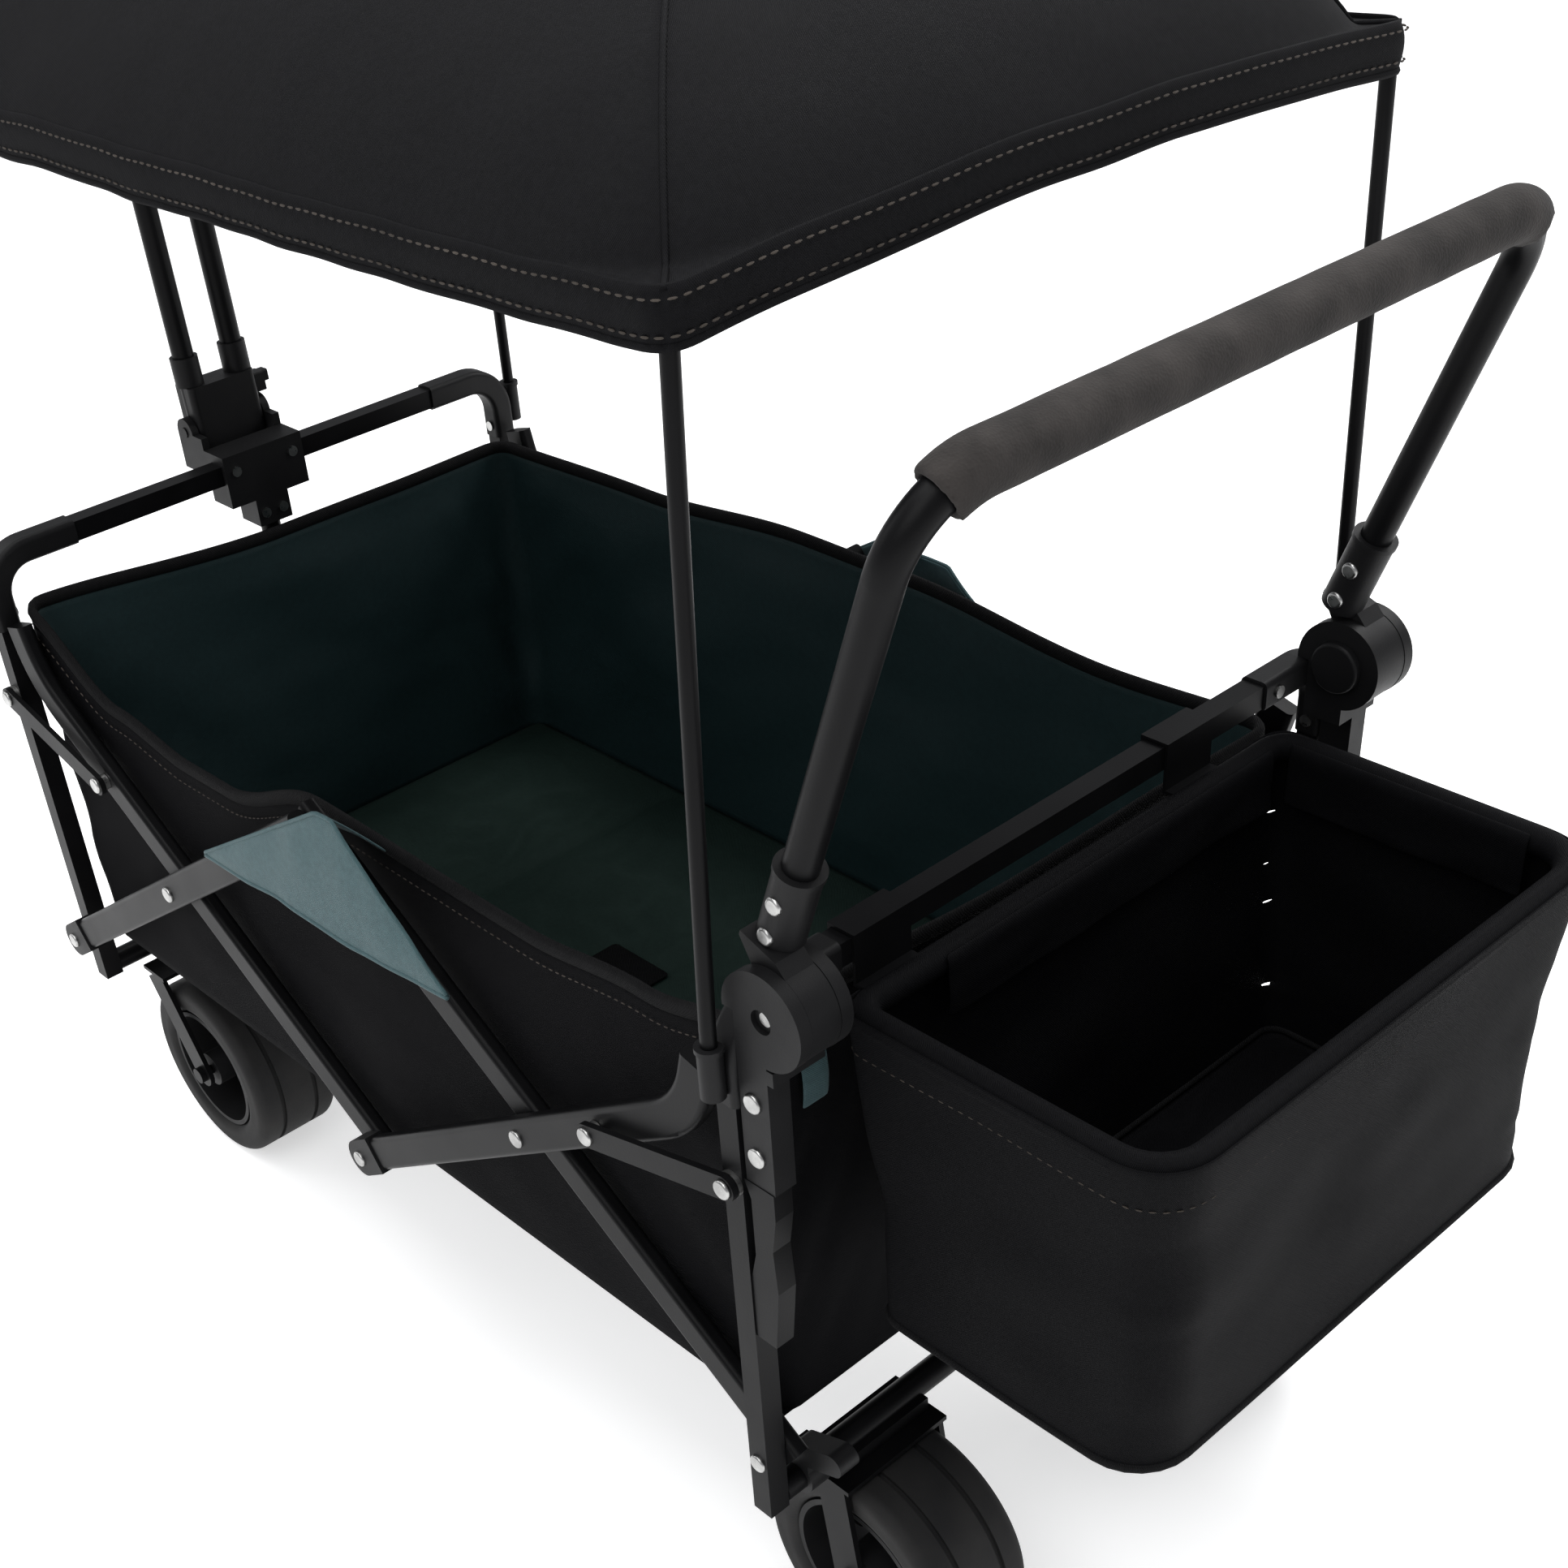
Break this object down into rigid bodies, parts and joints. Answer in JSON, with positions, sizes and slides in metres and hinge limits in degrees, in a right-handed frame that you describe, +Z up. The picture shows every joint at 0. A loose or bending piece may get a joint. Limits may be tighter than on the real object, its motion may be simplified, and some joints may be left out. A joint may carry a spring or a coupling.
{
  "type": "folding pull wagon",
  "caption": "Folding pull wagon for children with a scissor side frame, fabric tub, canopy on poles, push and pull handles, rear basket and swivel front wheels.",
  "frame": {"origin": "middle of the wagon's bounding box, on the ground under the wheels", "axes": "+X towards the push handle and basket, -X towards the pull handle, +Z up"},
  "size_m": [1.1166, 0.5462, 0.975],
  "materials": {
    "frame_tube": "satin",
    "rivet": "satin",
    "black_plastic": "matte",
    "foam": "matte",
    "tyre": "matte",
    "black_fabric": "matte",
    "green_fabric": "matte",
    "pocket_fabric": "matte"
  },
  "bodies": {
    "rear_frame": {"rear_posts": "frame_tube", "rear_top_rail": "frame_tube", "rear_elbows": "black_plastic", "rear_cross_bar": "frame_tube", "handle_supports": "frame_tube", "knuckle_housings": "black_plastic", "rear_rivets": "rivet", "rear_wheel_forks": "frame_tube", "rear_pole_sleeves": "black_plastic", "tub": "green_fabric", "floor_mat": "green_fabric", "side_pockets": "pocket_fabric"},
    "front_frame": {"front_posts": "frame_tube", "front_top_rail": "frame_tube", "front_elbows": "black_plastic", "front_cross_bar": "frame_tube", "pull_bracket": "black_plastic", "front_rivets": "rivet", "front_pole_sleeves": "black_plastic"},
    "rear_lower_bars": {"rear_lower_bars": "frame_tube"},
    "front_lower_bars": {"front_lower_bars": "frame_tube", "front_lower_bar_caps": "black_plastic", "front_bar_rivets": "rivet"},
    "rear_upper_bars": {"rear_upper_bars": "frame_tube", "rear_upper_bar_caps": "black_plastic", "rear_bar_rivets": "rivet"},
    "front_upper_bars": {"front_upper_bars": "frame_tube"},
    "rear_links": {"rear_links": "frame_tube", "rear_link_rivets": "rivet"},
    "front_links": {"front_links": "frame_tube", "front_link_rivets": "rivet"},
    "push_handle": {"push_handle_tube": "frame_tube", "push_handle_grip": "foam", "handle_sockets": "black_plastic", "handle_rivets": "rivet"},
    "left_button": {"left_knuckle_button": "black_plastic"},
    "right_button": {"right_knuckle_button": "black_plastic"},
    "basket": {"basket_frame": "frame_tube", "basket_hooks": "frame_tube", "basket_bag": "black_fabric"},
    "canopy": {"rear_canopy_poles": "frame_tube", "canopy_fabric": "black_fabric"},
    "front_poles": {"front_canopy_poles": "frame_tube"},
    "left_brake": {"left_brake_pedal": "black_plastic"},
    "right_brake": {"right_brake_pedal": "black_plastic"},
    "rear_left_wheel": {"rear_left_tyre": "tyre", "rear_left_hub": "black_plastic"},
    "rear_right_wheel": {"rear_right_tyre": "tyre", "rear_right_hub": "black_plastic"},
    "left_caster": {"left_caster_fork": "frame_tube"},
    "right_caster": {"right_caster_fork": "frame_tube"},
    "front_left_wheel": {"front_left_tyre": "tyre", "front_left_hub": "black_plastic"},
    "front_right_wheel": {"front_right_tyre": "tyre", "front_right_hub": "black_plastic"},
    "pull_handle": {"pull_handle_yoke": "black_plastic", "pull_outer_tubes": "frame_tube"},
    "pull_extension": {"pull_inner_rods": "frame_tube", "pull_handle_grip": "black_plastic"},
    "pull_latch": {"pull_latch": "black_plastic"}
  },
  "joints": [
    {"name": "side_fold", "type": "hinge", "parent": "rear_frame", "child": "rear_lower_bars", "pos_m": [0.32928, 0, 0.211], "axis": [0, 1, 0], "range_deg": [0, 44.14], "deforming": ["tub", "floor_mat", "side_pockets", "canopy_fabric"]},
    {"name": "front_lower_fold", "type": "hinge", "parent": "rear_lower_bars", "child": "front_lower_bars", "pos_m": [-0.08072, 0, 0.477], "axis": [0, 1, 0], "range_deg": [-88.29, 0]},
    {"name": "rear_upper_fold", "type": "hinge", "parent": "rear_lower_bars", "child": "rear_upper_bars", "pos_m": [0.12428, 0, 0.344], "axis": [0, 1, 0], "range_deg": [-88.29, 0]},
    {"name": "front_upper_fold", "type": "hinge", "parent": "front_lower_bars", "child": "front_upper_bars", "pos_m": [-0.28572, 0, 0.344], "axis": [0, 1, 0], "range_deg": [0, 88.29]},
    {"name": "front_frame_fold", "type": "hinge", "parent": "front_lower_bars", "child": "front_frame", "pos_m": [-0.49072, 0, 0.211], "axis": [0, 1, 0], "range_deg": [0, 44.15]},
    {"name": "rear_link_fold", "type": "hinge", "parent": "rear_frame", "child": "rear_links", "pos_m": [0.32928, 0, 0.43084], "axis": [0, 1, 0], "range_deg": [0, 89.68]},
    {"name": "front_link_fold", "type": "hinge", "parent": "front_frame", "child": "front_links", "pos_m": [-0.49072, 0, 0.43084], "axis": [0, 1, 0], "range_deg": [-89.68, 0]},
    {"name": "push_handle_tilt", "type": "hinge", "parent": "rear_frame", "child": "push_handle", "pos_m": [0.35928, 0, 0.55], "axis": [0, 1, 0], "range_deg": [-60, 90]},
    {"name": "left_button_press", "type": "slide", "parent": "rear_frame", "child": "left_button", "axis": [0, -1, 0], "range_m": [0, 0.004], "stiffness_N_per_m": 400, "springref_m": -0.002},
    {"name": "right_button_press", "type": "slide", "parent": "rear_frame", "child": "right_button", "axis": [0, 1, 0], "range_m": [0, 0.004], "stiffness_N_per_m": 400, "springref_m": -0.002},
    {"name": "basket_lift", "type": "slide", "parent": "rear_frame", "child": "basket", "axis": [0, 0, 1], "range_m": [0, 0.12]},
    {"name": "canopy_lift", "type": "slide", "parent": "rear_frame", "child": "canopy", "axis": [0, 0, 1], "range_m": [0, 0.06]},
    {"name": "front_pole_lift", "type": "slide", "parent": "front_frame", "child": "front_poles", "axis": [0, 0, 1], "range_m": [0, 0.06]},
    {"name": "left_brake_press", "type": "hinge", "parent": "rear_frame", "child": "left_brake", "pos_m": [0.32928, 0, 0.176], "axis": [0, 1, 0], "range_deg": [0, 18]},
    {"name": "right_brake_press", "type": "hinge", "parent": "rear_frame", "child": "right_brake", "pos_m": [0.32928, 0, 0.176], "axis": [0, 1, 0], "range_deg": [0, 18]},
    {"name": "rear_left_spin", "type": "hinge", "parent": "rear_frame", "child": "rear_left_wheel", "pos_m": [0.35128, -0.167, 0.08], "axis": [0, 1, 0], "continuous": true},
    {"name": "rear_right_spin", "type": "hinge", "parent": "rear_frame", "child": "rear_right_wheel", "pos_m": [0.35128, 0.167, 0.08], "axis": [0, 1, 0], "continuous": true},
    {"name": "left_swivel", "type": "hinge", "parent": "front_frame", "child": "left_caster", "pos_m": [-0.46572, -0.167, 0.176], "axis": [0, 0, 1], "continuous": true},
    {"name": "right_swivel", "type": "hinge", "parent": "front_frame", "child": "right_caster", "pos_m": [-0.46572, 0.167, 0.176], "axis": [0, 0, 1], "continuous": true},
    {"name": "front_left_spin", "type": "hinge", "parent": "left_caster", "child": "front_left_wheel", "pos_m": [-0.42172, -0.167, 0.08], "axis": [0, 1, 0], "continuous": true},
    {"name": "front_right_spin", "type": "hinge", "parent": "right_caster", "child": "front_right_wheel", "pos_m": [-0.42172, 0.167, 0.08], "axis": [0, 1, 0], "continuous": true},
    {"name": "pull_handle_tilt", "type": "hinge", "parent": "front_frame", "child": "pull_handle", "pos_m": [-0.52972, 0, 0.562], "axis": [0, -1, 0], "range_deg": [0, 95]},
    {"name": "pull_handle_extend", "type": "slide", "parent": "pull_handle", "child": "pull_extension", "axis": [-0.0506, 0, 0.9987], "range_m": [0, 0.15]},
    {"name": "pull_latch_press", "type": "slide", "parent": "pull_handle", "child": "pull_latch", "axis": [-0.0506, 0, 0.9987], "range_m": [0, 0.005], "stiffness_N_per_m": 400, "springref_m": -0.002}
  ],
  "couplings": [
    {"joint": "front_lower_fold", "follows": "side_fold", "ratio": -2},
    {"joint": "rear_upper_fold", "follows": "side_fold", "ratio": -2},
    {"joint": "front_upper_fold", "follows": "side_fold", "ratio": 2},
    {"joint": "front_frame_fold", "follows": "side_fold", "ratio": 1},
    {"joint": "rear_link_fold", "follows": "side_fold", "ratio": 2.0316},
    {"joint": "front_link_fold", "follows": "side_fold", "ratio": -2.0316},
    {"joint": "front_pole_lift", "follows": "canopy_lift", "ratio": 1}
  ]
}
